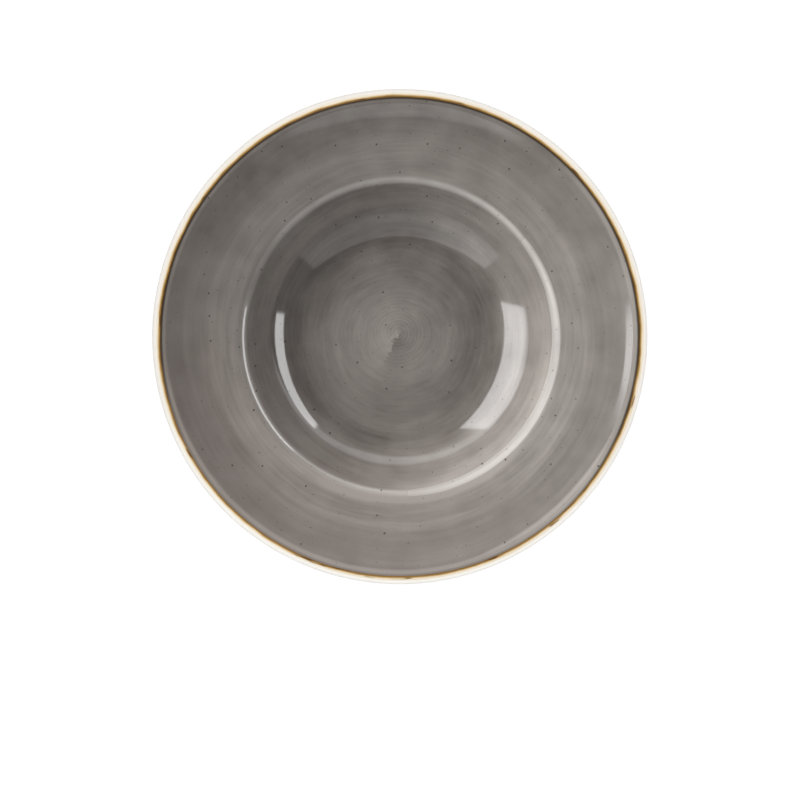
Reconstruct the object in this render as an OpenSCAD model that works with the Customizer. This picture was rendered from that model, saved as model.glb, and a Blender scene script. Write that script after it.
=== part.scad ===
// Rimmed soup plate: a vitrified clay body turned about Z, with its glaze coats and edge lines.
// The foot stands on z = 0. Lengths are millimetres and angles are degrees.
// The finished outline runs from the axis over the floor, wall, rim and lip, then back under to the foot.

/* [Plate] */
// Diameter across the finished lip
plate_d = 280; // [220:1:320]
// Height from the foot to the top of the finished lip
plate_h = 50.5; // [44:0.5:60]
// Thickness of the rim, which ends in a full round
rim_t = 5; // [4:0.1:6.5]
// How far the middle of the rim lies below a straight slope, so that the rim sweeps up to the lip
rim_dip = 1.2; // [0:0.1:2]
// Height of the crest beside the brown line, above the straight slope of the rim
crest_h = 0.5; // [0.2:0.1:1]
// Distance along the rim from the crest to the brown line
crest_gap = 3.6; // [2:0.1:6]

/* [Well] */
// Diameter of the shoulder, where the rim turns down into the well
shoulder_d = 181; // [165:1:200]
// Height of the shoulder above the foot
shoulder_h = 35.5; // [30:0.5:40]
// Slope of the well's wall above level
wall_angle = 46; // [40:1:56]
// Thickness of the well's wall
wall_t = 5.4; // [4.5:0.1:7]
// Thickness of the floor
floor_t = 5; // [4:0.1:6.5]

/* [Rounds] */
// Radius between the floor and the wall, inside the well
floor_round = 44; // [16:1:50]
// Radius on the shoulder
shoulder_round = 10; // [2:0.5:14]
// Radius of the rim's upward sweep, at the middle of the rim
rim_sweep = 450; // [100:10:900]
// Radius on the crest beside the brown line
crest_round = 4; // [1:0.5:8]
// Radius under the rim, where it meets the outside of the well
under_rim_round = 8; // [3:0.5:14]
// Radius outside the well, between the wall and the heel
heel_round = 30; // [12:1:40]

/* [Foot] */
// Outer diameter of the foot ring
foot_d = 112; // [96:1:122]
// Width of the foot ring's level bearing face
bearing_w = 4; // [3:0.5:7]
// Depth of the recess inside the foot ring
recess_h = 2.6; // [2:0.1:4]
// Height on the foot at which the heel starts
heel_h = 2.1; // [1.6:0.1:3]
// Slope of the heel, from the foot towards the wall
heel_angle = 15; // [8:1:24]
// Radius between the foot and the heel
heel_fillet = 1; // [0.3:0.1:2]
// Height of the bare clay on the foot
bare_h = 0.8; // [0.7:0.1:1.2]
// Radius on the edges of the bearing face
bearing_round = 0.6; // [0.2:0.1:0.7]
// Slope of the recess's side
recess_angle = 50; // [35:1:70]
// Radius between the recess's side and its ceiling
recess_round = 4; // [1:0.5:8]

/* [Glaze] */
// Thickness of every glaze coat
glaze_t = 0.4; // [0.25:0.05:0.6]
// Distance from the outline of the plate to the inner edge of the brown line, seen from above
rim_line_inset = 4.8; // [4:0.1:7]
// How far the brown line runs over the lip's round, in degrees from the end of the rim
rim_line_turn = 11; // [6:1:20]
// Direction on the lip's round, below the slope of the rim, where the amber line starts
edge_line_start_angle = 50; // [30:1:60]
// Direction on the lip's round, below the slope of the rim, where the amber line ends
edge_line_end_angle = 76; // [66:1:86]

/* [Hidden] */
// Longest step between the points on a round, in degrees
arc_step = 4;
// Fewest steps on a round
arc_steps_least = 4;
// Most of a straight side that the round at one of its ends may use
side_share = 0.49;
// Sides of the revolved solids
$fn = 180;

plate_r = plate_d / 2;
shoulder_r = shoulder_d / 2;
foot_r = foot_d / 2;
lip_round = rim_t / 2;
floor_h = recess_h + floor_t;

// Lengths and points in the plane of the section, each point as [radius, height]
function along(angle) = [cos(angle), sin(angle)];
function unit(v) = v / norm(v);
function cross2(a, b) = a[0] * b[1] - a[1] * b[0];
// Point where the line through a in direction u meets the line through b in direction v
function meet(a, u, b, v) = a + u * cross2(b - a, v) / cross2(u, v);
// Points on a circle from one direction to another, both ends included
function arc(centre, radius, from, to) =
    let (steps = max(arc_steps_least, ceil(abs(to - from) / arc_step)))
    [for (i = [0:steps]) centre + radius * along(from + (to - from) * i / steps)];
// Round on the corner b between the sides to a and to c, as points from the first side to the second
function rounded(a, b, c, radius) =
    let (
        u = unit(a - b),
        v = unit(c - b),
        half = acos(max(-1, min(1, u * v))) / 2,
        reach = min(radius / tan(half), side_share * norm(a - b), side_share * norm(c - b)),
        r = reach * tan(half),
        centre = b + unit(u + v) * r / sin(half),
        from = atan2((b + u * reach - centre)[1], (b + u * reach - centre)[0]),
        turn = (cross2(u, v) > 0 ? -1 : 1) * (180 - 2 * half)
    )
    arc(centre, r, from, from + turn);
// Points of a path moved sideways, to its left, by the same distance all along
function side_dir(path, i) = unit([path[i][1] - path[i + 1][1], path[i + 1][0] - path[i][0]]);
function moved(path, distance) =
    let (last = len(path) - 1)
    [for (i = [0:last])
        let (
            m = side_dir(path, max(0, i - 1)),
            n = side_dir(path, min(last - 1, i))
        )
        path[i] + (m + n) * distance / (1 + m * n)];
// Stretches joined end to end, each of which starts where the one before it ends
function joined(stretches) =
    [for (s = [0:len(stretches) - 1]) for (i = [s == 0 ? 0 : 1:len(stretches[s]) - 1]) stretches[s][i]];
function reversed(path) = [for (i = [len(path) - 1:-1:0]) path[i]];

// Lip, rim and wall
lip_centre = [plate_r - lip_round, plate_h - lip_round];
shoulder = [shoulder_r, shoulder_h];
rim_middle = (shoulder + lip_centre + [0, lip_round]) / 2 - [0, rim_dip];
to_lip = lip_centre - rim_middle;
rim_angle = atan2(to_lip[1], to_lip[0]) + asin(lip_round / norm(to_lip));
rim_top_angle = 90 + rim_angle;
rim_start = lip_centre + lip_round * along(rim_top_angle);
rim_end = lip_centre - lip_round * along(rim_top_angle);
floor_corner = meet([0, floor_h], along(0), shoulder, along(wall_angle));
// Outside of the well: its wall lies one wall thickness behind the inside
wall_back = shoulder - wall_t * along(wall_angle + 90);
// Underside of the rim: it follows the upper side, one rim thickness below it
under_middle = moved([shoulder, rim_middle, rim_start], -rim_t)[1];
under_rim = meet(under_middle, rim_middle - shoulder, wall_back, along(wall_angle));
heel_start = [foot_r, heel_h];
heel_corner = meet(heel_start, along(heel_angle), wall_back, along(wall_angle));
foot_end = [foot_r, bare_h];

// Finished outline in stretches, one for each coat, from the axis to the foot
line_start = meet(rim_start, along(rim_angle), [plate_r - rim_line_inset, 0], along(90));
crest = line_start - crest_gap * along(rim_angle) + crest_h * along(rim_top_angle);
rim_line_end_angle = rim_top_angle - rim_line_turn;
edge_line_from = rim_angle - edge_line_start_angle;
edge_line_to = rim_angle - edge_line_end_angle;
face_path = concat(
    [[0, floor_h]],
    rounded([0, floor_h], floor_corner, shoulder, floor_round),
    rounded(floor_corner, shoulder, rim_middle, shoulder_round),
    rounded(shoulder, rim_middle, crest, rim_sweep),
    rounded(rim_middle, crest, line_start, crest_round),
    [line_start]
);
rim_line_path = concat([line_start], arc(lip_centre, lip_round, rim_top_angle, rim_line_end_angle));
lip_path = arc(lip_centre, lip_round, rim_line_end_angle, edge_line_from);
edge_line_path = arc(lip_centre, lip_round, edge_line_from, edge_line_to);
back_path = concat(
    arc(lip_centre, lip_round, edge_line_to, rim_top_angle - 180),
    rounded(rim_end, under_middle, under_rim, rim_sweep),
    rounded(under_middle, under_rim, heel_corner, under_rim_round),
    rounded(under_rim, heel_corner, heel_start, heel_round),
    rounded(heel_corner, heel_start, foot_end, heel_fillet),
    [foot_end]
);
outline = joined([face_path, rim_line_path, lip_path, edge_line_path, back_path]);
clay_outline = moved(outline, -glaze_t);

// Recess inside the foot ring, from the ring to the axis
bearing_outer_r = foot_r - glaze_t;
bearing_inner_r = bearing_outer_r - bearing_w - 2 * bearing_round;
recess_start = [bearing_inner_r, bare_h];
recess_corner = meet(recess_start, along(180 - recess_angle), [0, recess_h], along(0));
clay_recess = concat(
    [recess_start],
    rounded(recess_start, recess_corner, [0, recess_h], recess_round),
    [[0, recess_h]]
);
base_path = moved(clay_recess, glaze_t);

// Index in the outline where each stretch starts
face_at = 0;
rim_line_at = len(face_path) - 1;
lip_at = rim_line_at + len(rim_line_path) - 1;
edge_line_at = lip_at + len(lip_path) - 1;
back_at = edge_line_at + len(edge_line_path) - 1;
foot_at = len(outline) - 1;

// Solid turned from the band between two paths of like length
module band(outer, inner) {
    rotate_extrude() polygon(concat(outer, reversed(inner)));
}

// Coat between two places on the outline, bedded on the clay
module coat(from, to) {
    band([for (i = [from:to]) outline[i]], [for (i = [from:to]) clay_outline[i]]);
}

// Fired clay: the whole section inside the coats, with a bare bearing face on the foot
module clay_body() {
    color("#cbb9a2")
        rotate_extrude() polygon(concat(
            clay_outline,
            arc([bearing_outer_r - bearing_round, bearing_round], bearing_round, 0, -90),
            arc([bearing_inner_r + bearing_round, bearing_round], bearing_round, -90, -180),
            clay_recess
        ));
}

// Grey coat brushed over the well and the rim
module face_glaze() {
    color("#7f7974") coat(face_at, rim_line_at);
}

// Brown line banded on top of the lip
module rim_line() {
    color("#8a6434") coat(rim_line_at, lip_at);
}

// Ivory coat round the lip
module lip_glaze() {
    color("#efe6d6") coat(lip_at, edge_line_at);
}

// Amber line low on the outside of the lip
module edge_line() {
    color("#c79a52") coat(edge_line_at, back_at);
}

// Ivory coat under the rim and down to the foot
module back_glaze() {
    color("#e9e1d3") coat(back_at, foot_at);
}

// Ivory coat in the recess of the foot
module base_glaze() {
    color("#e6dccb") band(base_path, clay_recess);
}

clay_body();
face_glaze();
rim_line();
lip_glaze();
edge_line();
back_glaze();
base_glaze();
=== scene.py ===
# %% [markdown]
# # A rimmed soup plate
# The plate is a turned form: one section, carried round an upright axis. On the real object a clay
# body was pressed and fired, then a grey glaze was brushed on its face while it spun, two coloured
# lines were banded at the lip, and an ivory glaze covers the lip and the back.
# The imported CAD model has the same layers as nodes. This script loads it as a fixed frame, then makes
# each layer again with finer edges and with glaze that looks like glaze.
# It works in millimetres and turns them to metres when a mesh is made.

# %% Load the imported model
import math

import bpy
import numpy as np
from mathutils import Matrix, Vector


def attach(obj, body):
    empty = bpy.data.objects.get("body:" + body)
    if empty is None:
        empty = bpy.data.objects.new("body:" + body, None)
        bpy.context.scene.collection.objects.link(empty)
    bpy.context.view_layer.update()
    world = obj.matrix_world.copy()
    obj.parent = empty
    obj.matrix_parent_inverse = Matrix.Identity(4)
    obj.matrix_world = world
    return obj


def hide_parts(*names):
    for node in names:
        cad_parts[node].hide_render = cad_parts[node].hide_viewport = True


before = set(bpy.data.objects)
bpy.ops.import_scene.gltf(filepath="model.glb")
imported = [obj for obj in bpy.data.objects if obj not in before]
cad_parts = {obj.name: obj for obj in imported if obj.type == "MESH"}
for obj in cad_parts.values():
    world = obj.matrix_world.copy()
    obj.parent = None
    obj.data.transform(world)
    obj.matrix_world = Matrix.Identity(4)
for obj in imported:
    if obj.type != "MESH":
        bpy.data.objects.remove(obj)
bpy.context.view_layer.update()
scene = bpy.context.scene
scene.view_settings.view_transform = "Standard"
MM = 0.001

# %% [markdown]
# ## Camera
# The photograph looks straight down on the plate from about a metre. A lens of 1683 pixels on a frame
# of 800 gives the plate its size there. The lens is shifted, not turned, to put the plate in the upper
# part of the frame: turning it would make the circles look like ellipses.

# %% Camera
IMAGE_PX = 800
FOCAL_PX = 1683
SENSOR_MM = 36
CAMERA_HEIGHT = 1.0
camera_data = bpy.data.cameras.new("plan_camera")
camera_data.sensor_width = SENSOR_MM
camera_data.lens = FOCAL_PX / IMAGE_PX * SENSOR_MM
camera_data.shift_x = 0.0003
camera_data.shift_y = -0.0793
camera = bpy.data.objects.new("plan_camera", camera_data)
camera.location = (0, 0, CAMERA_HEIGHT)
scene.collection.objects.link(camera)
scene.camera = camera
print("lens:", round(camera_data.lens, 2), "mm")

# %% [markdown]
# ## Colours and nodes
# Colours are read off as sRGB hex values, but shaders mix light, which is linear, so one function
# turns the one into the other. A second adds a node, sets its options and fills or links its sockets.
# All shaders below are built with these two. A few options come up often, such as a smooth step between
# two values or a mix of colours, so they get short names.

# %% Colour and node helpers
SMOOTH = {"interpolation_type": "SMOOTHSTEP"}
COLOUR = {"data_type": "RGBA"}
TIMES = {"operation": "MULTIPLY"}
TIMES_PLUS = {"operation": "MULTIPLY_ADD"}
DOT = {"operation": "DOT_PRODUCT"}
PLUS = {"operation": "ADD"}
MINUS = {"operation": "SUBTRACT"}


def linear(hex_code):
    """Linear colour of an sRGB hex value: below 0.04045 divided by 12.92, above it the 2.4 power."""
    srgb = np.array([int(hex_code[i:i + 2], 16) for i in (1, 3, 5)]) / 255
    bent = np.where(srgb <= 0.04045, srgb / 12.92, ((srgb + 0.055) / 1.055) ** 2.4)
    return (*bent.tolist(), 1.0)


def add_node(tree, kind, inputs=None, **settings):
    """Adds one node. Settings are its options; inputs are its sockets, each a value or what to link:
    an output, or a node, which stands for the first output that it has in use. Text is a hex colour."""
    made = tree.nodes.new("ShaderNode" + kind)
    for option, value in settings.items():
        setattr(made, option, value)
    for socket, value in (inputs or {}).items():
        if isinstance(value, str):
            value = linear(value)
        if isinstance(value, bpy.types.Node):
            value = next(output for output in value.outputs if output.enabled)
        if isinstance(value, bpy.types.NodeSocket):
            tree.links.new(value, made.inputs[socket])
        else:
            made.inputs[socket].default_value = value
    return made


print("mid grey:", np.round(linear("#7d7772"), 3).tolist())

# %% [markdown]
# ## Studio
# The gloss on the plate shows what stood round it: a tall soft box on the left that leans over the
# plate, a smaller one hung up on the right, a dim white panel in front, and white paper to the horizon.
# Nothing bright hung overhead, because the flat floor of the well is free of glare. Flat panels are the
# plainest way to get such curved strips of light in the well. More than the strips lights the face, so a
# key and a fill beside the boxes give diffuse light and don't show in the gloss.
# The lip and the back are evenly lit all round in the photograph, and the grey face is not. One set of
# lamps can't do both, so lamps are linked to what they light: two collections hold the pieces.

# %% A lamp panel
lit_from_left = bpy.data.collections.new("lit_from_left")
lit_all_round = bpy.data.collections.new("lit_all_round")


def soft_box(name, facing, distance, slide, width, height, lean, lift, radiance):
    """Lamp panel lifted off the table. Its middle is at a distance from the axis in the direction
    facing and is slid sideways; its top leans towards the axis; its power is radiance x pi x area."""
    turn, tilt = math.radians(facing), math.radians(lean)
    out = Vector((math.cos(turn), math.sin(turn), 0))
    side = Vector((-math.sin(turn), math.cos(turn), 0))
    lamp = bpy.data.lights.new(name, "AREA")
    lamp.shape = "RECTANGLE"
    lamp.size = width
    lamp.size_y = height
    lamp.energy = radiance * math.pi * width * height
    holder = bpy.data.objects.new(name, lamp)
    holder.location = out * distance + side * slide + Vector((0, 0, lift + height / 2 * math.cos(tilt)))
    shine = -out * math.cos(tilt) - Vector((0, 0, math.sin(tilt)))
    holder.rotation_euler = shine.to_track_quat("-Z", "Y").to_euler()
    holder.light_linking.receiver_collection = lit_from_left
    scene.collection.objects.link(holder)
    return holder


# %% Soft boxes
left_soft_box = soft_box("left_soft_box", facing=166.5, distance=1.4, slide=-0.107, width=1.795,
                         height=1.52, lean=26.2, lift=0, radiance=3.15)
left_key = soft_box("left_key", facing=161, distance=0.8, slide=-0.27, width=1.32,
                    height=1.0, lean=0, lift=0, radiance=8.05)
right_soft_box = soft_box("right_soft_box", facing=18, distance=0.9, slide=0, width=0.998,
                          height=0.315, lean=0, lift=0.295, radiance=3.72)
right_fill = soft_box("right_fill", facing=-24, distance=0.9, slide=-0.15, width=1.047,
                      height=0.5, lean=0, lift=0, radiance=4.03)
front_panel = soft_box("front_panel", facing=270, distance=0.8, slide=0, width=2.0,
                       height=1.27, lean=0, lift=0, radiance=0.56)
shown_in_gloss = (left_soft_box, right_soft_box, front_panel)
for holder in shown_in_gloss:
    holder.visible_diffuse = False
for holder in (left_key, right_fill):
    holder.visible_glossy = False
print("shown in the gloss:", [holder.name for holder in shown_in_gloss])

# %% [markdown]
# A mirror image of a mirror image is left out: the wall would also show the boxes as the opposite rim
# sees them, and the photograph has no such second strip. So a box only shines on the first bounce.
# The strips in the photograph have soft or slanting ends. Cut cloth could be hung on a real box; here
# the lamp's shader reads where a point is, as shares of the panel's width and height. The left box fades
# towards its foot and loses a corner, the right box has a sloping top, and the front panel is brightest
# at its top and at one end.

# %% What the soft boxes show
FIRST_BOUNCE = 2.5
FADED_LEVEL = 0.05
FADE_TILT = 0.08
GAIN_SHARE = 0.4
for holder, dark_share, full_share, cut_start, end_share, near_gain in [
    (left_soft_box, 0.19, 0.44, 0.938, 0.25, 1.0),
    (right_soft_box, -1.0, 0.0, 0.3, 0.66, 1.0),
    (front_panel, -0.6, 1.0, 0.9, 1.0, 2.1),
]:
    holder.data.use_nodes = True
    tree = holder.data.node_tree
    tree.nodes.clear()
    place = add_node(tree, "NewGeometry")
    shares = add_node(tree, "SeparateXYZ", {0: place.outputs["Parametric"]})
    side_share, up_share = shares.outputs["X"], shares.outputs["Y"]
    tilted = add_node(tree, "Math", {0: side_share, 1: FADE_TILT, 2: up_share}, **TIMES_PLUS)
    fade = add_node(tree, "MapRange", {0: tilted, 1: dark_share, 2: full_share, 3: FADED_LEVEL, 4: 1.0})
    top_share = add_node(tree, "MapRange", {0: side_share, 1: cut_start, 2: 1.0, 3: 1.0, 4: end_share})
    below_top = add_node(tree, "Math", {0: up_share, 1: top_share}, operation="LESS_THAN")
    gain = add_node(tree, "MapRange", {0: side_share, 1: 0.0, 2: GAIN_SHARE, 3: near_gain, 4: 1.0})
    path = add_node(tree, "LightPath")
    level = add_node(tree, "Math", {0: path.outputs["Ray Depth"], 1: FIRST_BOUNCE}, operation="LESS_THAN")
    for factor in (fade, below_top, gain):
        level = add_node(tree, "Math", {0: level, 1: factor}, **TIMES)
    glow = add_node(tree, "Emission", {1: level})
    add_node(tree, "OutputLight", {0: glow})
print("panels with a shader:", len(shown_in_gloss))

# %% [markdown]
# One wide panel overhead lights the lip and the back evenly. It isn't seen in their gloss either.

# %% Overhead panel for the lip
OVERHEAD_RADIANCE = 1.4
overhead = bpy.data.lights.new("overhead_panel", "AREA")
overhead.size = 4.0
overhead.energy = OVERHEAD_RADIANCE * math.pi * overhead.size ** 2
overhead_panel = bpy.data.objects.new("overhead_panel", overhead)
overhead_panel.location = (0, 0, 1.2)
overhead_panel.visible_glossy = False
overhead_panel.light_linking.receiver_collection = lit_all_round
scene.collection.objects.link(overhead_panel)
print("overhead panel:", overhead.size, "m wide")

# %% [markdown]
# The world is white to the camera, like paper swept up behind a table. Mirror-like gloss sees that paper
# at the horizon only, with a dark ceiling over it. Diffuse surfaces get a little even light, so the white
# background adds none to the plate.

# %% World
AMBIENT = 0.02
CEILING = 0.0
SWEPT_UP = 0.3
PAPER_FULL = 0.08
PAPER_END = 0.16
world = bpy.data.worlds.new("studio")
scene.world = world
world.use_nodes = True
tree = world.node_tree
tree.nodes.clear()
aim = add_node(tree, "TexCoord")
axes = add_node(tree, "SeparateXYZ", {0: aim.outputs["Generated"]})
behind = add_node(tree, "Math", {0: axes.outputs["Y"], 1: 0.0}, operation="MAXIMUM")
sweep = add_node(tree, "Math", {0: behind, 1: -SWEPT_UP, 2: axes.outputs["Z"]}, **TIMES_PLUS)
paper = add_node(tree, "MapRange", {0: sweep, 1: PAPER_FULL, 2: PAPER_END, 3: 1.0, 4: CEILING}, **SMOOTH)
path = add_node(tree, "LightPath")
level = add_node(tree, "Mix", {0: path.outputs["Is Glossy Ray"], 2: AMBIENT, 3: paper})
level = add_node(tree, "Mix", {0: path.outputs["Is Camera Ray"], 2: level, 3: 1.0})
backdrop = add_node(tree, "Background", {0: (1, 1, 1, 1), 1: level})
add_node(tree, "OutputWorld", {0: backdrop})
print("world:", world.name)

# %% [markdown]
# The floor is white paper on a light table. It glows, which lights the plate's underside evenly. The
# camera sees a painted shadow round the foot: there the glow is turned down by the distance from the
# axis, and the plate also keeps the lamps' light off. Further out the paper is all glow, as white as the
# background of a product picture.

# %% Floor
FLOOR_HALF = 4.0
corner = FLOOR_HALF * np.array([[-1, -1, 0], [1, -1, 0], [1, 1, 0], [-1, 1, 0]])
corner[:, 2] = -0.1 * MM
floor_mesh = bpy.data.meshes.new("paper_floor")
floor_mesh.from_pydata(corner.tolist(), [], [(0, 1, 2, 3)])
floor = bpy.data.objects.new("paper_floor", floor_mesh)
scene.collection.objects.link(floor)
lit_from_left.objects.link(floor)
print("floor:", 2 * FLOOR_HALF, "m wide")

# %% White paper
SHADOW_INNER, SHADOW_OUTER = 0.055, 0.12
SHADOW_GLOW, PAPER_GLOW, EVEN_GLOW = 0.4, 0.995, 0.84
DULL_INNER, DULL_OUTER = 0.1, 0.138
DULL_WHITE, LIT_WHITE = 0.03, 0.3
paper_floor = bpy.data.materials.new("white_paper")
paper_floor.use_nodes = True
tree = paper_floor.node_tree
tree.nodes.clear()
spot = add_node(tree, "TexCoord")
reach = add_node(tree, "VectorMath", {0: spot.outputs["Object"]}, operation="LENGTH")
# Painted shadow: the glow that the camera sees is lower near the axis, round the foot.
shadow = {0: reach, 1: SHADOW_INNER, 2: SHADOW_OUTER, 3: SHADOW_GLOW, 4: PAPER_GLOW}
glow = add_node(tree, "MapRange", shadow, **SMOOTH)
dull = add_node(tree, "MapRange", {0: reach, 1: DULL_INNER, 2: DULL_OUTER, 3: LIT_WHITE, 4: DULL_WHITE})
tint = add_node(tree, "CombineColor", {0: dull, 1: dull, 2: dull})
lit = add_node(tree, "BsdfDiffuse", {0: tint})
path = add_node(tree, "LightPath")
glow = add_node(tree, "Mix", {0: path.outputs["Is Camera Ray"], 2: EVEN_GLOW, 3: glow})
shine = add_node(tree, "Emission", {0: (1, 1, 1, 1), 1: glow})
both = add_node(tree, "AddShader", {0: lit, 1: shine})
add_node(tree, "OutputMaterial", {0: both})
floor_mesh.materials.append(paper_floor)
print(paper_floor.name, len(tree.nodes), "nodes")

# %% [markdown]
# ## The section
# A turner thinks of a plate as one line: over the floor of the well, up its wall, round the shoulder,
# along the rim, round the lip and back under to the foot. It could be drawn as a curve object and
# screwed round the axis, but a line that is known as a function of its length lets every glaze layer
# start and stop anywhere on it. So the line is put together from straight sides and true rounds, then
# sampled every twentieth of a millimetre.

# %% Sizes of the section, in millimetres and degrees
plate_r, plate_h = 140.0, 50.5
rim_t, rim_dip, rim_sweep = 5.0, 1.2, 450.0
shoulder_r, shoulder_h, shoulder_round = 90.5, 35.5, 10.0
wall_angle, wall_t = 46.0, 5.4
floor_h, floor_round = 7.6, 44.0
under_rim_round, heel_round = 8.0, 30.0
foot_r, heel_h, heel_angle, heel_fillet = 56.0, 2.1, 15.0, 1.0
bare_h, bearing_w, bearing_round = 0.8, 4.0, 0.6
recess_h, recess_angle, recess_round = 2.6, 50.0, 4.0
glaze_t = 0.4
rim_line_inset, rim_line_turn = 4.8, 11.0
edge_line_start, edge_line_end = 50.0, 76.0
lip_round = rim_t / 2

# %% Lines and rounds in the plane of the section
SIDE_SHARE = 0.49


def along(angle):
    """Unit vector in the section at an angle above level: its cosine outwards, its sine upwards."""
    return np.array([math.cos(math.radians(angle)), math.sin(math.radians(angle))])


def meet(a, u, b, v):
    """Point where the line through a along u crosses the line through b along v, by cross products."""
    gap = b - a
    return a + u * (gap[0] * v[1] - gap[1] * v[0]) / (u[0] * v[1] - u[1] * v[0])


def arc(centre, radius, start, stop):
    """Points on a circle from one angle to another, about one for each degree."""
    count = max(8, int(abs(stop - start)))
    angle = np.radians(np.linspace(start, stop, count + 1))
    return centre + radius * np.column_stack([np.cos(angle), np.sin(angle)])


def rounded(before, corner, after, radius):
    """Round in a corner. It touches both sides at radius over the tangent of half the corner's angle,
    or at just under half of a side that is too short for that."""
    u, v = before - corner, after - corner
    longest = SIDE_SHARE * min(np.linalg.norm(u), np.linalg.norm(v))
    u, v = u / np.linalg.norm(u), v / np.linalg.norm(v)
    half = math.acos(np.clip(u @ v, -1, 1)) / 2
    reach = min(radius / math.tan(half), longest)
    size = reach * math.tan(half)
    centre = corner + (u + v) / np.linalg.norm(u + v) * size / math.sin(half)
    first = corner + u * reach - centre
    start = math.degrees(math.atan2(first[1], first[0]))
    left_turn = u[0] * v[1] - u[1] * v[0] > 0
    turn = 180 - 2 * math.degrees(half)
    return arc(centre, size, start, start + (-turn if left_turn else turn))


print("points on a quarter circle:", len(arc(np.zeros(2), 1.0, 0, 90)))

# %% Corners of the outline
floor_mid = np.array([0, floor_h])
lip_centre = np.array([plate_r - lip_round, plate_h - lip_round])
shoulder = np.array([shoulder_r, shoulder_h])
rim_middle = (shoulder + lip_centre + [0, lip_round]) / 2 - [0, rim_dip]
to_lip = lip_centre - rim_middle
to_tangent = math.asin(lip_round / np.linalg.norm(to_lip))
rim_angle = math.degrees(math.atan2(to_lip[1], to_lip[0]) + to_tangent)
rim_top = 90 + rim_angle
rim_start = lip_centre + lip_round * along(rim_top)
rim_end = lip_centre - lip_round * along(rim_top)
floor_corner = meet(floor_mid, along(0), shoulder, along(wall_angle))
wall_back = shoulder - wall_t * along(wall_angle + 90)
inner_slope = (rim_middle - shoulder) / np.linalg.norm(rim_middle - shoulder)
outer_slope = along(rim_angle)
both_normals = np.array([-inner_slope[1] - outer_slope[1], inner_slope[0] + outer_slope[0]])
under_middle = rim_middle - rim_t * both_normals / (1 + inner_slope @ outer_slope)
under_rim = meet(under_middle, inner_slope, wall_back, along(wall_angle))
heel_start = np.array([foot_r, heel_h])
heel_corner = meet(heel_start, along(heel_angle), wall_back, along(wall_angle))
foot_end = np.array([foot_r, bare_h])
line_start = meet(rim_start, along(rim_angle), np.array([plate_r - rim_line_inset, 0]), along(90))
print("rim slopes", round(rim_angle, 2), "degrees")

# %% The finished outline, from the axis to the foot
stretches = [
    floor_mid[None],
    rounded(floor_mid, floor_corner, shoulder, floor_round),
    rounded(floor_corner, shoulder, rim_middle, shoulder_round),
    rounded(shoulder, rim_middle, line_start, rim_sweep),
    arc(lip_centre, lip_round, rim_top, rim_top - 180),
    rounded(rim_end, under_middle, under_rim, rim_sweep),
    rounded(under_middle, under_rim, heel_corner, under_rim_round),
    rounded(under_rim, heel_corner, heel_start, heel_round),
    rounded(heel_corner, heel_start, foot_end, heel_fillet),
    foot_end[None],
]
corners = np.vstack(stretches)
corner_at = np.concatenate([[0], np.cumsum(np.linalg.norm(np.diff(corners, axis=0), axis=1))])
STEP = 0.05
line_s = np.append(np.arange(0, corner_at[-1], STEP), corner_at[-1])
line_r = np.interp(line_s, corner_at, corners[:, 0])
line_z = np.interp(line_s, corner_at, corners[:, 1])
slope_r, slope_z = np.gradient(line_r, line_s), np.gradient(line_z, line_s)
steep = np.hypot(slope_r, slope_z)
line_nr, line_nz = -slope_z / steep, slope_r / steep
print("outline:", round(corner_at[-1], 1), "mm long")

# %% Places on the outline
def s_near(point):
    """Length along the outline at which it passes closest to a point."""
    return line_s[np.argmin(np.hypot(line_r - point[0], line_z - point[1]))]


def on_outline(s, depth=0.0):
    """Radius and height at length s, moved a depth inwards against the outline's normal."""
    r = np.interp(s, line_s, line_r) - depth * np.interp(s, line_s, line_nr)
    z = np.interp(s, line_s, line_z) - depth * np.interp(s, line_s, line_nz)
    return r, z


s_floor = s_near(stretches[1][0])
s_wall = s_near(stretches[1][-1])
s_shoulder = s_near(stretches[2][0])
s_rim = s_near(stretches[2][-1])
s_line = s_near(line_start)
s_lip = s_near(lip_centre + lip_round * along(rim_top - rim_line_turn))
s_edge = s_near(lip_centre + lip_round * along(rim_angle - edge_line_start))
s_back = s_near(lip_centre + lip_round * along(rim_angle - edge_line_end))
s_under = s_near(rim_end)
s_foot = line_s[-1]
print("coats change at", np.round([s_line, s_lip, s_edge, s_back, s_foot], 1).tolist(), "mm")

# %% [markdown]
# ## Turning a section into a mesh
# Each layer is a closed loop in the section: out along its surface, back along the clay. Carrying the
# loop round the axis is one multiplication by a cosine and a sine, so whole arrays of points come out
# at once. A layer that reaches the axis is closed there by two poles.

# %% Turned shells
AROUND = 288
theta = np.linspace(0, 2 * np.pi, AROUND, endpoint=False)


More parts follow.
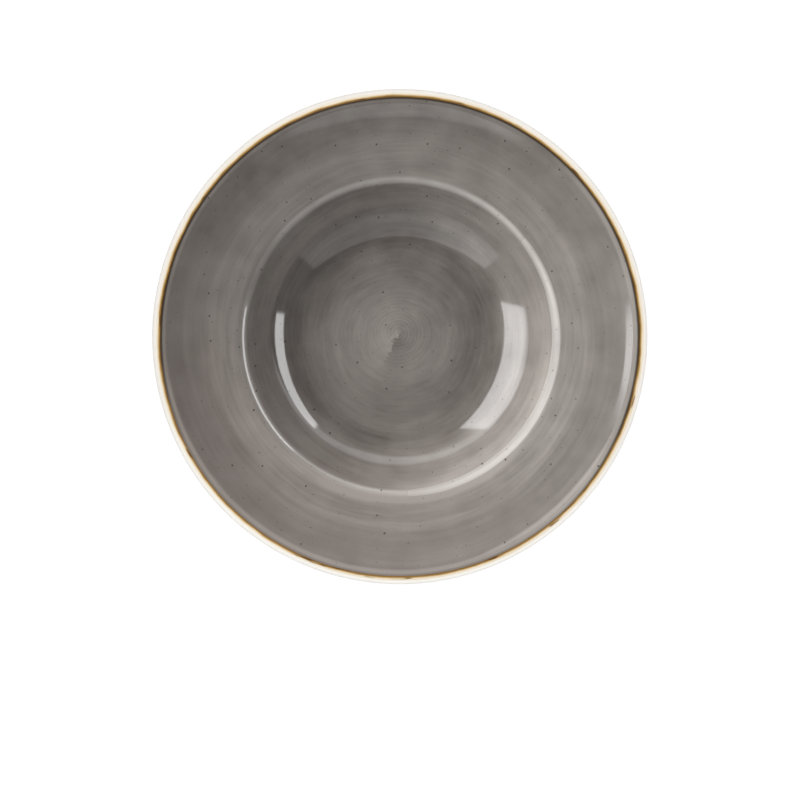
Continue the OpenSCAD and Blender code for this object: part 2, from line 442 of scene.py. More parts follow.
def turned(name, r, z):
    """Mesh of a section turned round Z: each point goes to (r cos t, r sin t, z).
    Rows run along the section and columns round the axis; a section that starts on the axis gets
    a pole at each end, and any other is a closed loop."""
    poled = bool(np.all(r[0] < 1e-9))
    rings_r, rings_z = (r[1:-1], z[1:-1]) if poled else (r, z)
    points = np.stack([rings_r * np.cos(theta), rings_r * np.sin(theta), rings_z], axis=-1).reshape(-1, 3)
    rings = len(rings_r)
    k, j = np.meshgrid(np.arange(rings - 1 if poled else rings), np.arange(AROUND), indexing="ij")
    here, there = k * AROUND, (k + 1) % rings * AROUND
    turn = (j + 1) % AROUND
    faces = np.stack([here + j, there + j, there + turn, here + turn], axis=-1).reshape(-1, 4).tolist()
    if poled:
        j, turn = j[0], turn[0]
        last = (rings - 1) * AROUND
        top, bottom = np.full(AROUND, len(points)), np.full(AROUND, len(points) + 1)
        faces += np.column_stack([top, j, turn]).tolist()
        faces += np.column_stack([last + j, bottom, last + turn]).tolist()
        points = np.vstack([points, [0, 0, z[0, 0]], [0, 0, z[-1, 0]]])
    mesh = bpy.data.meshes.new(name)
    mesh.from_pydata((points * MM).tolist(), [], faces)
    mesh.polygons.foreach_set("use_smooth", np.ones(len(mesh.polygons), dtype=bool))
    mesh.set_sharp_from_angle(angle=math.radians(40))
    piece = bpy.data.objects.new(name, mesh)
    scene.collection.objects.link(piece)
    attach(piece, "root")
    print(name, len(mesh.polygons), "faces")
    return piece


# %% [markdown]
# Beside the brown line the grey coat sweeps up to a low crest, which is laid over the outline as a small
# height. It is what catches light on the right.

# %% Crest beside the line
CREST_RISE_AT, CREST_RISE = [-15, -10, -7, -3.8, -3.2, -2.4], [0, 0.05, 0.08, 0.088, 0.086, 0]
CREST_FALL_AT, CREST_FALL = [-3.2, -2.4, 0.6, 1.2], [0, 1, 1, 0]
crest_rise = np.interp(line_s, s_line + np.array(CREST_RISE_AT), CREST_RISE)
crest_fall = np.interp(line_s, s_line + np.array(CREST_FALL_AT), CREST_FALL)
crest_height = np.cumsum(crest_rise - crest_fall * crest_rise.sum() / crest_fall.sum()) * STEP
CREST_LEAST, CREST_MORE, CREST_SIDE, CREST_POWER = 0.72, 0.34, 4, 10
to_side = np.clip(np.cos(theta - math.radians(CREST_SIDE)), 0, 1)
crest_share = CREST_LEAST + CREST_MORE * to_side ** CREST_POWER


def crest(s):
    """Height of the crest beside the line: the running sum of its slope along the outline, which grows
    over 11 mm, ends within 1 mm and turns to a fall that takes all the height back. A high power of the
    cosine makes it half as high again towards +X."""
    return crest_share * np.interp(s, line_s, crest_height)


print("crest at +X:", round(crest_height.max() * crest_share[0], 2), "mm high")

# %% [markdown]
# The lines were banded by hand, so their edges wander a little: the places where layers meet depend on
# the angle round the plate, and neighbours share them.

# %% Coats and their wandering edges
def coat(name, start, stop, share, back_rows):
    """Closed layer on the outline between two lengths that may change round the plate. Its outer face
    is the outline with the crest; its inner face is the outline moved in by the glaze's thickness."""
    outer = start + (stop - start) * share[:, None]
    inner = start + (stop - start) * np.linspace(1, 0, back_rows)[:, None]
    face_r, face_z = on_outline(outer, -crest(outer))
    bed_r, bed_z = on_outline(inner, glaze_t)
    return turned(name, np.vstack([face_r, bed_r]), np.vstack([face_z, bed_z]))


def wander(size, *waves):
    """Hand wobble round the plate: sines that fit a whole number of times, so the ends meet."""
    return size * sum(np.sin(n * theta + phase) / math.sqrt(n) for n, phase in waves)


line_edge = s_line + wander(0.09, (2, 0.4), (5, 2.1), (11, 4.0), (23, 1.0))
lip_edge = s_lip + wander(0.07, (3, 1.7), (7, 0.2), (16, 3.1), (31, 2.6))
amber_edge = s_edge + wander(0.06, (2, 2.9), (6, 0.8), (13, 5.0), (29, 3.3))
back_edge = s_back + wander(0.05, (3, 0.1), (8, 4.4), (19, 1.9), (37, 0.7))
even = np.zeros(AROUND)
print("the brown line's edge wanders by", round(np.ptp(line_edge), 2), "mm")

# %% [markdown]
# ## The pieces
# The face coat needs fine rows where the section bends: at the foot of the wall, on the shoulder and
# near the line. The clay under it all is one solid, bare only where the foot stands on the table.

# %% Face coat, lines, lip, back and base
def rows(*spans):
    """Lengths along the outline from spans of (start, stop, count), each span without its last point."""
    return np.concatenate([np.linspace(a, b, n, endpoint=False) for a, b, n in spans])


face_s = rows((0, s_floor, 20), (s_floor, s_wall, 36), (s_wall, s_shoulder, 14), (s_shoulder, s_rim, 14),
              (s_rim, s_rim + 6, 8), (s_rim + 6, s_line - 8, 26), (s_line - 8, s_line, 20))
face_share = np.append(face_s, s_line) / s_line
face_glaze = coat("face_glaze_brushed", even, line_edge, face_share, 60)
rim_line = coat("rim_line_banded", line_edge, lip_edge, np.linspace(0, 1, 15), 5)
lip_glaze = coat("lip_glaze_ivory", lip_edge, amber_edge, np.linspace(0, 1, 41), 15)
edge_line = coat("edge_line_banded", amber_edge, back_edge, np.linspace(0, 1, 13), 5)
back_s = rows((s_back, s_under, 6), (s_under, s_under + 45, 24), (s_under + 45, s_foot - 6, 60),
              (s_foot - 6, s_foot, 30))
back_share = (np.append(back_s, s_foot) - s_back) / (s_foot - s_back)
back_glaze = coat("back_glaze_ivory", back_edge, s_foot + even, back_share, 60)

# %% Clay body and the coat in its foot
bearing_outer = foot_r - glaze_t
bearing_inner = bearing_outer - bearing_w - 2 * bearing_round
recess_start = np.array([bearing_inner, bare_h])
recess_mid = np.array([0, recess_h])
recess_corner = meet(recess_start, along(180 - recess_angle), recess_mid, along(0))
recess = np.vstack([
    recess_start,
    rounded(recess_start, recess_corner, recess_mid, recess_round)[::4],
    np.column_stack([np.linspace(recess_corner[0] - 6, 0, 10), np.full(10, recess_h)]),
])
clay_r, clay_z = on_outline(np.append(face_s, rows((s_line, s_foot, 120))), glaze_t)
foot_outer = arc(np.array([bearing_outer - bearing_round, bearing_round]), bearing_round, 0, -90)[::9]
foot_inner = arc(np.array([bearing_inner + bearing_round, bearing_round]), bearing_round, -90, -180)[::9]
clay_end = np.array([[bearing_outer, bare_h]])
clay_section = np.vstack([np.column_stack([clay_r, clay_z]), clay_end, foot_outer, foot_inner, recess])
clay_body = turned("clay_body_fired", clay_section[:, :1] + even, clay_section[:, 1:] + even)
recess_slope = np.gradient(recess, axis=0)
recess_slope /= np.linalg.norm(recess_slope, axis=1)[:, None]
base_face = recess + glaze_t * np.column_stack([-recess_slope[:, 1], recess_slope[:, 0]])
base_face[-1, 0] = 0
base_section = np.vstack([base_face[::-1], recess])
base_glaze = turned("base_glaze_ivory", base_section[:, :1] + even, base_section[:, 1:] + even)

# %% [markdown]
# ## Finishes
# Every finish is a fired surface: glass for the glazes and lines, bare grains for the clay. A glaze is
# clear glass with colour in it, so its gloss is that of glass, and all of its pattern is in the colour
# and in slight unevenness. Patterns read Object coordinates, so they stay where they are on the plate.

# %% A finish and its shader
def new_finish(name):
    """Material without nodes, and the tree that its nodes go into."""
    finish = bpy.data.materials.new(name)
    finish.use_nodes = True
    finish.node_tree.nodes.clear()
    return finish, finish.node_tree


def dress(pieces, finish, sockets):
    """Ends a finish with one Principled shader, whose sockets are filled, and gives it to its pieces."""
    tree = finish.node_tree
    shader = add_node(tree, "BsdfPrincipled", sockets)
    add_node(tree, "OutputMaterial", {0: shader})
    for piece in pieces:
        piece.data.materials.append(finish)
    print(finish.name, len(tree.nodes), "nodes")


# %% [markdown]
# All patterns on a turned plate run round it. So a point's place is read as on a potter's wheel: which
# way it lies from the axis, and how far.

# %% Places and patterns on the wheel
AXIS_FADE_MM = 15.0


def wheel_place(tree):
    """Where a point lies on the wheel: its place in mm, its distance from the axis, and a vector of
    (direction, distance) whose direction fades near the axis, as distance over distance plus a length."""
    spot = add_node(tree, "TexCoord")
    point = add_node(tree, "VectorMath", {0: spot.outputs["Object"], "Scale": 1 / MM}, operation="SCALE")
    flat = add_node(tree, "VectorMath", {0: point, 1: (1, 1, 0)}, **TIMES)
    reach = add_node(tree, "VectorMath", {0: flat}, operation="LENGTH")
    more = add_node(tree, "Math", {0: reach, 1: AXIS_FADE_MM}, **PLUS)
    share = add_node(tree, "Math", {0: 1.0, 1: more}, operation="DIVIDE")
    way = add_node(tree, "VectorMath", {0: flat, "Scale": share}, operation="SCALE")
    lift = add_node(tree, "CombineXYZ", {2: reach})
    return point, reach, add_node(tree, "VectorMath", {0: way, 1: lift}, **PLUS)


def towards(turning, azimuth, far, near, least, most):
    """Value by direction round the plate: the cosine of the angle from an azimuth in degrees, which is
    less near the axis, is carried smoothly from the range far to near to the range least to most."""
    tree = turning.id_data
    way = (math.cos(math.radians(azimuth)), math.sin(math.radians(azimuth)), 0)
    cosine = add_node(tree, "VectorMath", {0: turning, 1: way}, **DOT)
    ends = {0: cosine, 1: far, 2: near, 3: least, 4: most}
    return add_node(tree, "MapRange", ends, **SMOOTH)


def turned_noise(place, round_scale, out_scale, detail):
    """Noise stretched along the turn: a place on the wheel, a vector of direction and distance, is
    scaled round the plate and outwards before the noise reads it."""
    tree = place.id_data
    ratio = (round_scale, round_scale, out_scale)
    scaled = add_node(tree, "VectorMath", {0: place, 1: ratio}, **TIMES)
    return add_node(tree, "TexNoise", {"Vector": scaled, "Scale": 1.0, "Detail": detail})


# %% [markdown]
# ## Grey glaze
# The face coat is stoneware glaze laid on with a loaded brush while the plate turned on a wheel. That
# leaves long soft arcs, fine bristle streaks on top of them and a spiral in the middle, where the brush
# came to rest. A picture of it could be painted, but noise that is stretched along the turn does the
# same at any size: its place is the direction from the axis, which changes slowly, and the distance
# from the axis, which changes fast. The brush isn't quite steady, so the distance drifts a little.

# %% Grey glaze: an unsteady hand
grey_glaze, tree = new_finish("grey_stoneware_glaze_brushed")
point, reach, turning = wheel_place(tree)
DRIFT_MM = 5.0
drift = turned_noise(turning, 1.1, 1 / 45, 1.0)
shaken = add_node(tree, "Math", {0: drift, 1: DRIFT_MM, 2: -DRIFT_MM / 2}, **TIMES_PLUS)
shaken = add_node(tree, "CombineXYZ", {2: shaken})
stroke_place = add_node(tree, "VectorMath", {0: turning, 1: shaken}, **PLUS)
clouds = add_node(tree, "TexNoise", {"Vector": point, "Scale": 0.055, "Detail": 3.0})
tone = add_node(tree, "MapRange", {0: clouds, 1: 0.25, 2: 0.75, 3: 0.4, 4: 0.6})
print("the brush drifts over", DRIFT_MM, "mm")

# %% [markdown]
# The streaks come in four widths. Each row of the list says how often a streak changes in a turn, how
# wide it is, how strong, and what share of that is left near the lip. The floor is brushed more evenly
# than the rim, and the rim most roughly at the front.

# %% Grey glaze: streaks
BRUSH = [(1.0, 12.0, 0.36, 0.75), (1.7, 5.0, 0.30, 0.5), (3.0, 2.0, 0.26, 0.36), (8.0, 0.9, 0.15, 0.45)]
FLOOR_BRUSH = 0.75
on_rim = add_node(tree, "MapRange", {0: reach, 1: 80.0, 2: 95.0})
rim_brush = towards(turning, -95, -0.3, 0.6, 0.85, 1.45)
brushed = add_node(tree, "Mix", {0: on_rim, 2: FLOOR_BRUSH, 3: rim_brush})
for changes_round, width_mm, strength, left_outside in BRUSH:
    stroke = turned_noise(stroke_place, changes_round, 1 / width_mm, 1.0)
    stroke = add_node(tree, "Math", {0: stroke, 1: 0.5}, **MINUS)
    less_outside = {0: reach, 1: 106.0, 2: 118.0, 3: strength, 4: strength * left_outside}
    kept = add_node(tree, "MapRange", less_outside)
    kept = add_node(tree, "Math", {0: kept, 1: brushed}, **TIMES)
    tone = add_node(tree, "Math", {0: stroke, 1: kept, 2: tone}, **TIMES_PLUS)
strokes = tone
print("brush marks from", BRUSH[-1][1], "to", BRUSH[0][1], "mm wide")

# %% [markdown]
# The middle of the well has its own marks. The rings there are about 2 mm apart and run inwards as a
# spiral, round a point that lies a little off the axis. The last stroke also left a seam: the tone
# climbs slowly once round and drops back at one ragged edge. An arctangent gives the turn for both.
# From here on each change of tone is kept as a pair, its shape and its amount, and added up later.

# %% Grey glaze: spiral and seam in the middle
SPIRAL_MID = (-1.1, 2.2, 0.0)
SPIRAL_PITCH = 2.0
RADIANS_PER_MM = 2 * math.pi / SPIRAL_PITCH
SEAM_WAY = (0.375, 0.927, 0)
SEAM_ACROSS = (-0.927, 0.375, 0)
from_mid = add_node(tree, "VectorMath", {0: point, 1: SPIRAL_MID}, **MINUS)
from_mid = add_node(tree, "VectorMath", {0: from_mid, 1: (1, 1, 0)}, **TIMES)
mid_axes = add_node(tree, "SeparateXYZ", {0: from_mid})
mid_turn = add_node(tree, "Math", {0: mid_axes.outputs["Y"], 1: mid_axes.outputs["X"]}, operation="ARCTAN2")
mid_reach = add_node(tree, "VectorMath", {0: from_mid}, operation="LENGTH")
phase = add_node(tree, "Math", {0: mid_reach, 1: RADIANS_PER_MM, 2: mid_turn}, **TIMES_PLUS)
spiral = add_node(tree, "Math", {0: phase}, operation="SINE")
near_mid = add_node(tree, "MapRange", {0: mid_reach, 1: 6.0, 2: 26.0, 3: 0.045, 4: 0.0})
ragged = add_node(tree, "TexNoise", {"Vector": point, "Scale": 0.35, "Detail": 3.0})
ragged = add_node(tree, "VectorMath", {0: ragged.outputs["Color"], 1: (0.5, 0.5, 0.5)}, **MINUS)
ragged = add_node(tree, "VectorMath", {0: ragged, 1: (9, 9, 0), 2: from_mid}, **TIMES_PLUS)
seam_x = add_node(tree, "VectorMath", {0: ragged, 1: SEAM_WAY}, **DOT)
seam_y = add_node(tree, "VectorMath", {0: ragged, 1: SEAM_ACROSS}, **DOT)
seam = add_node(tree, "Math", {0: seam_y, 1: seam_x}, operation="ARCTAN2")
near_seam = add_node(tree, "MapRange", {0: mid_reach, 1: 7.0, 2: 22.0, 3: 0.065, 4: 0.0})
dot = add_node(tree, "MapRange", {0: mid_reach, 1: 0.6, 2: 2.4, 3: 0.16, 4: 0.0}, **SMOOTH)
tones = [(spiral, near_mid), (seam, near_seam), (dot, 1.0)]
print("spiral round", SPIRAL_MID[:2], "mm")

# %% [markdown]
# The rim has a lighter sweep of the brush next to the shoulder, and inside that a narrow first stroke
# that is strongest at the front. The sweeps end at the same unsteady distance as the streaks. Further
# out the tone falls slowly towards the lip. The whole rim is also painted a little paler at the front
# and darker at the back: painted light, as it falls on the rim.

# %% Grey glaze: sweeps on the rim
SWEEP_TILT = (-0.02, -0.06, 0)
SWEEP_TONE = 0.13
RIM_LIGHT_TILT = (-0.005, -0.08, 0)
sweep_reach = add_node(tree, "SeparateXYZ", {0: stroke_place}).outputs["Z"]
sweep_in = add_node(tree, "MapRange", {0: reach, 1: 88.0, 2: 91.0})
sweep_out = add_node(tree, "MapRange", {0: sweep_reach, 1: 107.0, 2: 112.0, 3: 1.0, 4: 0.0})
sweep = add_node(tree, "Math", {0: sweep_out, 1: sweep_in}, **TIMES)
loaded = add_node(tree, "VectorMath", {0: turning, 1: SWEEP_TILT}, **DOT)
loaded = add_node(tree, "Math", {0: loaded, 1: SWEEP_TONE}, **PLUS)
first_out = add_node(tree, "MapRange", {0: sweep_reach, 1: 94.0, 2: 97.0, 3: 1.0, 4: 0.0})
first_stroke = add_node(tree, "Math", {0: first_out, 1: sweep_in}, **TIMES)
first_side = towards(turning, -84, 0.2, 0.75, 0.0, 0.32)
fading = add_node(tree, "MapRange", {0: sweep_reach, 1: 112.0, 2: 128.0, 3: 0.0, 4: 0.07})
# Painted light: the rim is a little paler towards the front and darker towards the back.
rim_painted_light = add_node(tree, "VectorMath", {0: turning, 1: RIM_LIGHT_TILT}, **DOT)
tones += [(sweep, loaded), (first_stroke, first_side), (fading, -1.0), (rim_painted_light, on_rim)]
print("changes of tone:", len(tones))

# %% [markdown]
# In the well the floor is palest in the middle and to the left and darker towards the right and the
# wall, partly its own tone and partly painted light. The hollow at the foot of the wall is darker except
# towards the upper right. The wall is painted lighter to the upper right and darker except on the lower
# right, and the top of the wall on the lower right is painted lighter: painted light and shade. Each of
# those is a band between two distances from the axis, times a value that depends on the direction.

# %% Grey glaze: tones of the well
FLOOR_LIGHT_TILT = (-0.13, -0.04, 0)
# Partly the floor's own tone, partly painted light: paler in the middle and to the left, darker towards the
# wall.
floor_tone_and_light = add_node(tree, "MapRange", {0: reach, 1: 14.0, 2: 44.0, 3: 0.1, 4: -0.1})
floor_only = add_node(tree, "MapRange", {0: reach, 1: 54.0, 2: 68.0, 3: 1.0, 4: 0.0})
tilt = add_node(tree, "VectorMath", {0: turning, 1: FLOOR_LIGHT_TILT}, **DOT)
floor_tone_and_light = add_node(tree, "Math", {0: floor_tone_and_light, 1: tilt}, **PLUS)
tones.append((floor_tone_and_light, floor_only))
# First band: the hollow is darker except towards the upper right. The other three are painted light and
# shade on the wall.
for start, full, fall, end, azimuth, far, near, least, most, easing in [
    (53.0, 59.0, 65.0, 71.0, 25, 0.64, 0.78, -0.15, 0.0, "SMOOTHSTEP"),
    (68.0, 76.0, 87.0, 91.0, 48, 0.6, 0.8, 0.0, 0.08, "LINEAR"),
    (68.0, 76.0, 87.0, 91.0, -50, 0.6, 0.8, -0.1, 0.0, "LINEAR"),
    (80.5, 87.5, 87.0, 88.8, -45, 0.35, 0.8, 0.0, 0.28, "LINEAR"),
]:
    rising = add_node(tree, "MapRange", {0: reach, 1: start, 2: full}, interpolation_type=easing)
    down = {0: reach, 1: fall, 2: end, 3: 1.0, 4: 0.0}
    falling = add_node(tree, "MapRange", down, interpolation_type=easing)
    band = add_node(tree, "Math", {0: rising, 1: falling}, **TIMES)
    by_side = towards(turning, azimuth, far, near, least, most)
    tones.append((band, by_side))
print("changes of tone:", len(tones))

# %% [markdown]
# Beside the line the coat is painted paler on the right and at the front, a painted sheen on the crest,
# and darker at the far left, painted shade. All of these tones add up to one number for how pale the
# coat is, and that picks a grey. To the lower left the rim's grey is warmer.

# %% Grey glaze: edge of the coat, and its grey
# Painted sheen and shade beside the line: paler on the right and at the front, darker at the far left.
near_side = towards(turning, -100, 0.1, 0.6, 0.0, 1.0)
crest_sheen_and_shade = towards(turning, -20, -0.2, 0.9, -0.38, 0.5)
crest_sheen_front = add_node(tree, "Math", {0: near_side, 1: 0.48}, **TIMES)
crest_sheen_and_shade = add_node(tree, "Math", {0: crest_sheen_and_shade, 1: crest_sheen_front}, operation="MAXIMUM")
wider = towards(turning, -48, 0.8, 0.9, 0.0, 1.7)
crest_sheen_reach = add_node(tree, "Math", {0: reach, 1: wider}, **PLUS)
crest_sheen_band = add_node(tree, "MapRange", {0: crest_sheen_reach, 1: 131.0, 2: 132.8}, **SMOOTH)
tones.append((crest_sheen_band, crest_sheen_and_shade))
for shape, amount in tones:
    tone = add_node(tree, "Math", {0: shape, 1: amount, 2: tone}, **TIMES_PLUS)
grey = add_node(tree, "Mix", {0: tone, 6: "#514b46", 7: "#aaa49e"}, **COLOUR)
warmth = towards(turning, -120, 0.1, 0.75, 0.0, 0.3)
rim_more = add_node(tree, "MapRange", {0: reach, 1: 60.0, 2: 110.0, 3: 0.2, 4: 1.0})
warmth = add_node(tree, "Math", {0: warmth, 1: rim_more}, **TIMES)
grey = add_node(tree, "Mix", {0: warmth, 6: grey, 7: "#7f716d"}, **COLOUR)
print("changes added up:", len(tones))

# %% [markdown]
# Glaze is thin where the clay is convex, because it runs off, and the clay shows paler through it. So
# the shoulder gets a light ring about 3 mm wide, patchy, strongest at the far side and weak on the right,
# where light from the left box takes its place. The last millimetre at the line is stained by its iron,
# painted weaker at the front as part of the painted sheen there.

# %% Grey glaze: shoulder ring and stained edge
RING_MM = 90.5
off_ring = add_node(tree, "Math", {0: reach, 1: RING_MM}, **MINUS)
ring = add_node(tree, "MapRange", {0: off_ring, 1: -3.4, 2: -0.4}, **SMOOTH)
outer_half = add_node(tree, "MapRange", {0: off_ring, 1: -0.4, 2: 1.7, 3: 1.0, 4: 0.0}, **SMOOTH)
patchy = add_node(tree, "TexNoise", {"Vector": point, "Scale": 0.09, "Detail": 2.0})
patchy = add_node(tree, "MapRange", {0: patchy, 1: 0.3, 2: 0.7, 3: 0.7, 4: 1.0})
far_more = towards(turning, 90, -0.05, 0.5, 0.66, 1.05)
right_less = towards(turning, -25, 0.68, 0.84, 1.0, 0.12)
for factor in (outer_half, patchy, far_more, right_less):
    ring = add_node(tree, "Math", {0: ring, 1: factor}, **TIMES)
grey = add_node(tree, "Mix", {0: ring, 6: grey, 7: "#b5b0aa"}, **COLOUR)
edge = add_node(tree, "MapRange", {0: reach, 1: 133.7, 2: 134.7, 3: 0.0, 4: 0.9}, **SMOOTH)
# The stain is painted weaker at the front, as part of the painted sheen beside the line.
edge_less = add_node(tree, "MapRange", {0: near_side, 3: 1.0, 4: 0.35})
edge = add_node(tree, "Math", {0: edge, 1: edge_less}, **TIMES)
grey = add_node(tree, "Mix", {0: edge, 6: grey, 7: "#3c2f22"}, **COLOUR)
print("shoulder ring at", RING_MM, "mm")

# %% [markdown]
# Iron in the clay burns through as dark specks, about one on each 5 square centimetres, with fainter
# and finer ones between them. A Voronoi texture has one random point in each cell: the distance to it
# draws the speck, and the cell's random colour decides whether there is one.

# %% Grey glaze: iron specks
SPECKS = [(14.0, 0.8, 0.45, 0.85), (9.0, 0.5, 0.6, 0.6), (5.5, 0.36, 0.5, 0.35)]
for cell_mm, radius_mm, kept, strength in SPECKS:
    cells = add_node(tree, "TexVoronoi", {"Vector": point, "Scale": 1 / cell_mm}, voronoi_dimensions="2D")
    chance = add_node(tree, "SeparateColor", {0: cells.outputs["Color"]})
    there = add_node(tree, "Math", {0: chance.outputs[0], 1: kept}, operation="LESS_THAN")
    largest = radius_mm / cell_mm
    size = add_node(tree, "MapRange", {0: chance.outputs[1], 3: 0.35 * largest, 4: largest})
    core = add_node(tree, "Math", {0: size, 1: 0.45}, **TIMES)
    speck = add_node(tree, "MapRange", {0: cells.outputs["Distance"], 1: core, 2: size, 3: strength, 4: 0.0})
    speck = add_node(tree, "Math", {0: speck, 1: there}, **TIMES)
    grey = add_node(tree, "Mix", {0: speck, 6: grey, 7: "#3f3934"}, **COLOUR)
print("specks up to", SPECKS[0][1], "mm in radius")

# %% [markdown]
# The gloss is that of smooth glass, slightly uneven where the glaze pooled, with a faint ripple along
# the streaks. On the right of the shoulder the thin coat is duller, which spreads the light there. The
# glass is denser than window glass, so dim boxes still give clear strips when seen from above.

# %% Grey glaze: gloss and ripple
DULL_MM = 89.8
DENSE_IOR = 1.9
pooled = add_node(tree, "TexNoise", {"Vector": point, "Scale": 0.06, "Detail": 2.0})
gloss = add_node(tree, "MapRange", {0: pooled, 1: 0.3, 2: 0.7, 3: 0.05, 4: 0.11})
off_dull = add_node(tree, "Math", {0: reach, 1: DULL_MM}, **MINUS)
off_dull = add_node(tree, "Math", {0: off_dull}, operation="ABSOLUTE")
duller = add_node(tree, "MapRange", {0: off_dull, 1: 1.2, 2: 3.0, 3: 0.5, 4: 0.0}, **SMOOTH)
dull_side = towards(turning, -25, 0.2, 0.65, 0.0, 1.0)
gloss = add_node(tree, "Math", {0: duller, 1: dull_side, 2: gloss}, **TIMES_PLUS)
ripple = add_node(tree, "Bump", {"Height": strokes, "Strength": 0.12, "Distance": 0.00012})
dress([face_glaze], grey_glaze, {"Base Color": grey, "Roughness": gloss, "IOR": DENSE_IOR, "Normal": ripple})

# %% [markdown]
# ## Brown line
# The line on top of the lip was banded with iron oxide. It is darkest at its inner edge, where it lies
# against the grey, then amber, then gold, and it runs out into the ivory. That is a row of mixes along
# the radius, each over a fraction of a millimetre. A hand-held brush gives darker blobs and paler
# stretches round the turn, so the radius is shaken by noise along it before the mixes read it.

# %% Brown line
LINE_GLOSS = {"Roughness": 0.09, "IOR": 1.52}
brown_line, tree = new_finish("iron_oxide_line_banded")
_, reach, turning = wheel_place(tree)
shake = turned_noise(turning, 14, 0.3, 3.0)
across = add_node(tree, "Math", {0: shake, 1: 1.2, 2: -0.6}, **TIMES_PLUS)
across = add_node(tree, "Math", {0: reach, 1: across}, **PLUS)
PRESSED = (0.02, 0.08, 0)
pressed = add_node(tree, "VectorMath", {0: turning, 1: PRESSED}, **DOT)
across = add_node(tree, "Math", {0: across, 1: pressed}, **PLUS)
# Painted light: the line's dark colour is paler at the front and at the far side, where light shows on it.
line_sheen_front = towards(turning, -107, 0.2, 0.7, 0.0, 1.0)
line_sheen_far = towards(turning, 105, 0.5, 0.85, 0.0, 0.5)
paler = add_node(tree, "Math", {0: line_sheen_front, 1: line_sheen_far}, operation="MAXIMUM")
shade = add_node(tree, "Mix", {0: paler, 6: "#433421", 7: "#80654a"}, **COLOUR)
for start_mm, stop_mm, hex_code in [(135.2, 135.6, "#86642f"), (135.6, 136.05, "#b08a52"),
                                    (136.05, 136.5, "#d6c19a"), (136.5, 137.0, "#efe4cf")]:
    share = add_node(tree, "MapRange", {0: across, 1: start_mm, 2: stop_mm})
    shade = add_node(tree, "Mix", {0: share, 6: shade, 7: hex_code}, **COLOUR)
blobs = turned_noise(turning, 10, 0.5, 1.0)
blobs = add_node(tree, "MapRange", {0: blobs, 1: 0.63, 2: 0.7, 3: 0.0, 4: 0.75})
shade = add_node(tree, "Mix", {0: blobs, 6: shade, 7: "#573818"}, **COLOUR)
ripple = add_node(tree, "Bump", {"Height": shake, "Strength": 0.2, "Distance": 0.0001})
dress([rim_line], brown_line, {"Base Color": shade, "Normal": ripple, **LINE_GLOSS})

# %% [markdown]
# ## Amber line
# Low on the outside of the lip the same oxide was drawn much thinner. It is amber where the brush was
# full and almost the colour of the ivory where it ran dry, and it fades out up and down.

# %% Amber line
amber_line, tree = new_finish("amber_oxide_line_banded")
point, _, turning = wheel_place(tree)
load = turned_noise(turning, 2.2, 0, 4.0)
load = add_node(tree, "MapRange", {0: load, 1: 0.4, 2: 0.58, 3: 0.65, 4: 1.0})
height = add_node(tree, "SeparateXYZ", {0: point}).outputs["Z"]
AMBER_MID = 46.25
off_mid = add_node(tree, "Math", {0: height, 1: AMBER_MID}, **MINUS)
off_mid = add_node(tree, "Math", {0: off_mid}, operation="ABSOLUTE")
body = add_node(tree, "MapRange", {0: off_mid, 1: 0.2, 2: 0.5, 3: 1.0, 4: 0.3})
full = add_node(tree, "Math", {0: load, 1: body}, **TIMES)
shade = add_node(tree, "Mix", {0: full, 6: "#ebdfc8", 7: "#b17c33"}, **COLOUR)
blobs = turned_noise(turning, 16, 0, 1.0)
blobs = add_node(tree, "MapRange", {0: blobs, 1: 0.62, 2: 0.74, 3: 0.0, 4: 0.7})
blobs = add_node(tree, "Math", {0: blobs, 1: full}, **TIMES)
shade = add_node(tree, "Mix", {0: blobs, 6: shade, 7: "#7a5424"}, **COLOUR)
dress([edge_line], amber_line, {"Base Color": shade, **LINE_GLOSS})

# %% [markdown]
# ## Ivory glaze
# The lip, the back and the base were dipped in one ivory glaze, so one finish serves all three. It is
# nearly even: a slow mottle and faint turning marks from the clay below. On top of the lip it is
# painted whiter, most of all at the front: a painted sheen where the lip catches the light.

# %% Ivory glaze: mottle and white top
ivory_glaze, tree = new_finish("ivory_glaze_dipped")
point, reach, turning = wheel_place(tree)
mottle = add_node(tree, "TexNoise", {"Vector": point, "Scale": 0.045, "Detail": 3.0})
marks = turned_noise(turning, 1.5, 1 / 3.2, 2.0)
cloudy = add_node(tree, "Math", {0: mottle, 1: marks}, **PLUS)
cloudy = add_node(tree, "MapRange", {0: cloudy, 1: 0.7, 2: 1.3})
shade = add_node(tree, "Mix", {0: cloudy, 6: "#e9e0d1", 7: "#efe7da"}, **COLOUR)
height = add_node(tree, "SeparateXYZ", {0: point}).outputs["Z"]
# Painted sheen: the top of the lip is mixed towards white, most of all at the front.
WHITE_MM = 137.2
lip_top_sheen = add_node(tree, "MapRange", {0: reach, 1: WHITE_MM, 2: WHITE_MM + 1})
on_top = add_node(tree, "MapRange", {0: height, 1: 49.0, 2: 49.6, 3: 0.0, 4: 0.75})
lip_top_sheen = add_node(tree, "Math", {0: lip_top_sheen, 1: on_top}, **TIMES)
whiter = towards(turning, -96, 0.2, 0.7, 0.0, 1.0)
white = add_node(tree, "Mix", {0: whiter, 6: "#f3f0ec", 7: "#fbfaf7"}, **COLOUR)
shade = add_node(tree, "Mix", {0: lip_top_sheen, 6: shade, 7: white}, **COLOUR)
print("the lip is whiter from", WHITE_MM, "mm")

# %% [markdown]
# Oxide from the two lines bleeds into the ivory and tints its edges: by radius on top of the lip, and by
# height above the amber line. A few tan pinholes are left where gas came out in the firing.

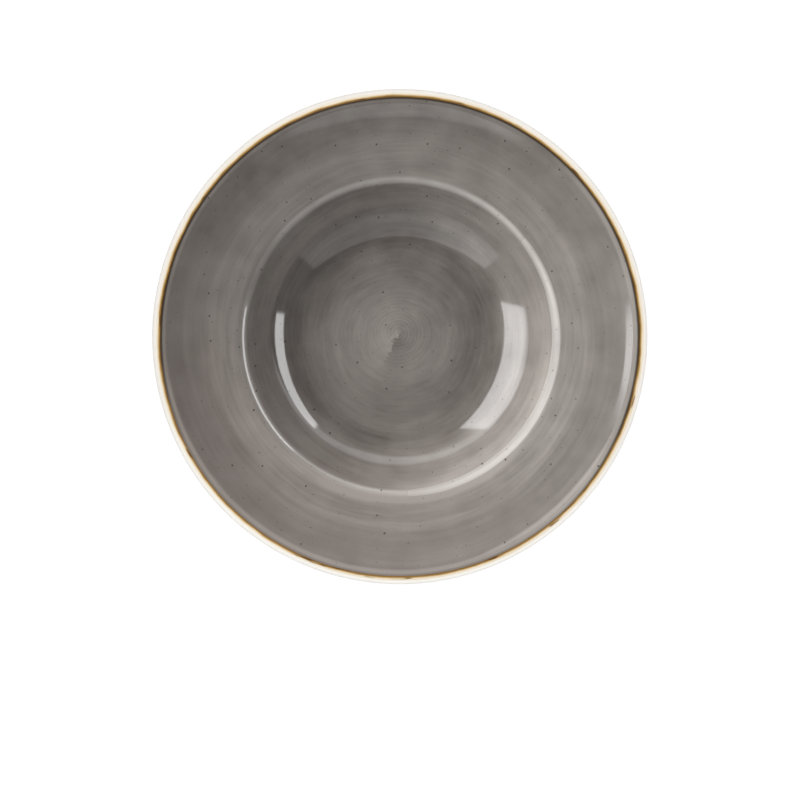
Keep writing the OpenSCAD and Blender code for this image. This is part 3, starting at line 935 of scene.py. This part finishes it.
# %% Ivory glaze: tinted edges and pinholes
bleed = turned_noise(turning, 9, 0, 2.0)
high = add_node(tree, "Math", {0: height, 1: 48.2}, operation="GREATER_THAN")
above = add_node(tree, "MapRange", {0: reach, 1: 137.0, 2: 138.2, 3: 1.0, 4: 0.0})
above = add_node(tree, "Math", {0: above, 1: high}, **TIMES)
more_right = towards(turning, -30, -0.1, 0.8, 0.2, 0.8)
above = add_node(tree, "Math", {0: above, 1: more_right}, **TIMES)
off_amber = add_node(tree, "Math", {0: height, 1: AMBER_MID}, **MINUS)
beside = add_node(tree, "MapRange", {0: off_amber, 1: 0.35, 2: 2.2, 3: 0.5, 4: 0.0})
outside = add_node(tree, "Math", {0: off_amber, 1: 0.0}, operation="GREATER_THAN")
beside = add_node(tree, "Math", {0: beside, 1: outside}, **TIMES)
tint = add_node(tree, "Math", {0: above, 1: beside}, operation="MAXIMUM")
bleed = add_node(tree, "MapRange", {0: bleed, 1: 0.3, 2: 0.7, 3: 0.4, 4: 1.0})
tint = add_node(tree, "Math", {0: tint, 1: bleed}, **TIMES)
shade = add_node(tree, "Mix", {0: tint, 6: shade, 7: "#d8bd8c"}, **COLOUR)
holes = add_node(tree, "TexVoronoi", {"Vector": point, "Scale": 1 / 11})
hole = add_node(tree, "MapRange", {0: holes.outputs["Distance"], 1: 0.012, 2: 0.03, 3: 0.35, 4: 0.0})
shade = add_node(tree, "Mix", {0: hole, 6: shade, 7: "#b59a72"}, **COLOUR)
gloss = add_node(tree, "MapRange", {0: mottle, 1: 0.3, 2: 0.7, 3: 0.08, 4: 0.14})
ripple = add_node(tree, "Bump", {"Height": cloudy, "Strength": 0.2, "Distance": 0.0002})
sockets = {"Base Color": shade, "Roughness": gloss, "IOR": 1.52, "Normal": ripple}
dress([lip_glaze, back_glaze, base_glaze], ivory_glaze, sockets)

# %% [markdown]
# ## Fired clay
# Only the ring that the plate stands on is bare. It was wiped free of glaze and ground flat after the
# firing, so it is matt, a warm buff with darker grains, and scored by the grinding in fine circles.
# Real grains are a tenth of a millimetre; they are drawn at half a millimetre so that they show.

# %% Fired clay
fired_clay, tree = new_finish("fired_clay_ground")
point, _, turning = wheel_place(tree)
grain = add_node(tree, "TexNoise", {"Vector": point, "Scale": 2.0, "Detail": 2.0})
score = turned_noise(turning, 4, 1 / 0.4, 1.0)
rough_tone = add_node(tree, "Math", {0: grain, 1: score}, **PLUS)
share = add_node(tree, "MapRange", {0: rough_tone, 1: 0.75, 2: 1.25})
shade = add_node(tree, "Mix", {0: share, 6: "#b8a48b", 7: "#dac9b3"}, **COLOUR)
ripple = add_node(tree, "Bump", {"Height": rough_tone, "Strength": 0.6, "Distance": 0.0002})
dress([clay_body], fired_clay, {"Base Color": shade, "Roughness": 0.85, "IOR": 1.5, "Normal": ripple})

# %% [markdown]
# ## The CAD nodes
# Each finished piece hides the CAD node that it replaces, and joins the collection whose lamps light it.

# %% Pieces with their nodes and slots: the nodes are hidden, the pieces get their lamps
for piece, node, slot in [
    (clay_body, "clay_body", "fired_clay"),
    (face_glaze, "face_glaze", "grey_glaze"),
    (rim_line, "rim_line", "brown_line"),
    (lip_glaze, "lip_glaze", "ivory_glaze"),
    (edge_line, "edge_line", "amber_line"),
    (back_glaze, "back_glaze", "ivory_glaze"),
    (base_glaze, "base_glaze", "ivory_glaze"),
]:
    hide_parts(node)
    lamps = lit_from_left if piece is face_glaze else lit_all_round
    lamps.objects.link(piece)
